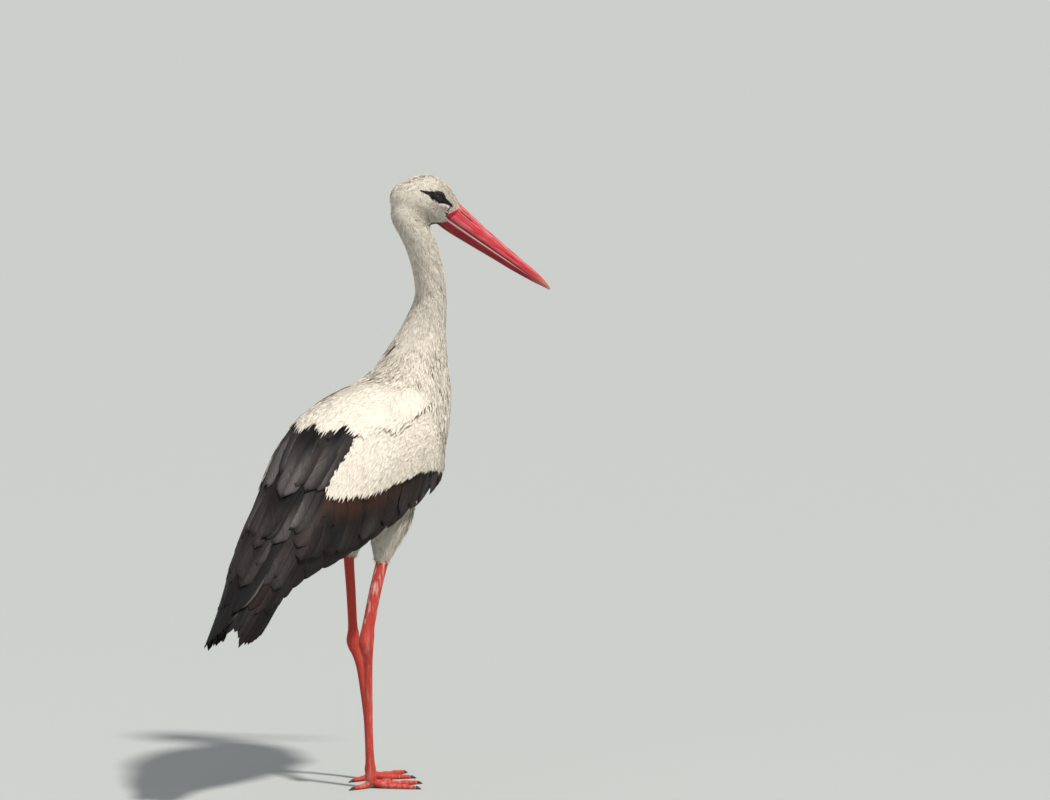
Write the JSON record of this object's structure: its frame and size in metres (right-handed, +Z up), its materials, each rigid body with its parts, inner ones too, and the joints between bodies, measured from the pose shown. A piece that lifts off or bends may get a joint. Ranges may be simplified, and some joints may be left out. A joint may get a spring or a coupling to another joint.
{
  "type": "white stork",
  "caption": "White stork standing at rest, head turned to its right, black flight feathers folded, long red bill and legs.",
  "frame": {"origin": "on the floor, under the middle of the model's bounding box", "axes": "+Z up, +X the way the bird's body faces, +Y to the bird's left"},
  "size_m": [0.5658, 0.2358, 0.8651],
  "materials": {
    "white_feather": "soft matt white plumage, warm on the neck and breast",
    "black_feather": "black flight feathers with a slight sheen and browner worn edges",
    "bill": "deep red horn, satin gloss, paler along the ridge",
    "leg_skin": "red scaled skin with pale chalky stains on the shins",
    "eye": "wet dark brown iris and black pupil",
    "claw": "dark brown horn"
  },
  "bodies": {
    "root": {"trunk": "white_feather", "neck_lower": "white_feather", "neck_upper": "white_feather", "head": "white_feather", "eye_left": "eye", "eye_right": "eye", "bill_upper": "bill", "bill_lower": "bill", "cape": "white_feather", "wing_left_coverts": "white_feather", "wing_left_tertials": "black_feather", "wing_left_secondaries": "black_feather", "wing_left_primaries": "black_feather", "wing_right_coverts": "white_feather", "wing_right_tertials": "black_feather", "wing_right_secondaries": "black_feather", "wing_right_primaries": "black_feather", "tail": "white_feather", "leg_left_thigh": "white_feather", "leg_left_shin": "leg_skin", "leg_left_tarsus": "leg_skin", "toe_left_middle": "leg_skin", "claw_left_middle": "claw", "toe_left_inner": "leg_skin", "claw_left_inner": "claw", "toe_left_outer": "leg_skin", "claw_left_outer": "claw", "toe_left_hind": "leg_skin", "claw_left_hind": "claw", "leg_right_thigh": "white_feather", "leg_right_shin": "leg_skin", "leg_right_tarsus": "leg_skin", "toe_right_middle": "leg_skin", "claw_right_middle": "claw", "toe_right_inner": "leg_skin", "claw_right_inner": "claw", "toe_right_outer": "leg_skin", "claw_right_outer": "claw", "toe_right_hind": "leg_skin", "claw_right_hind": "claw"}
  },
  "joints": []
}
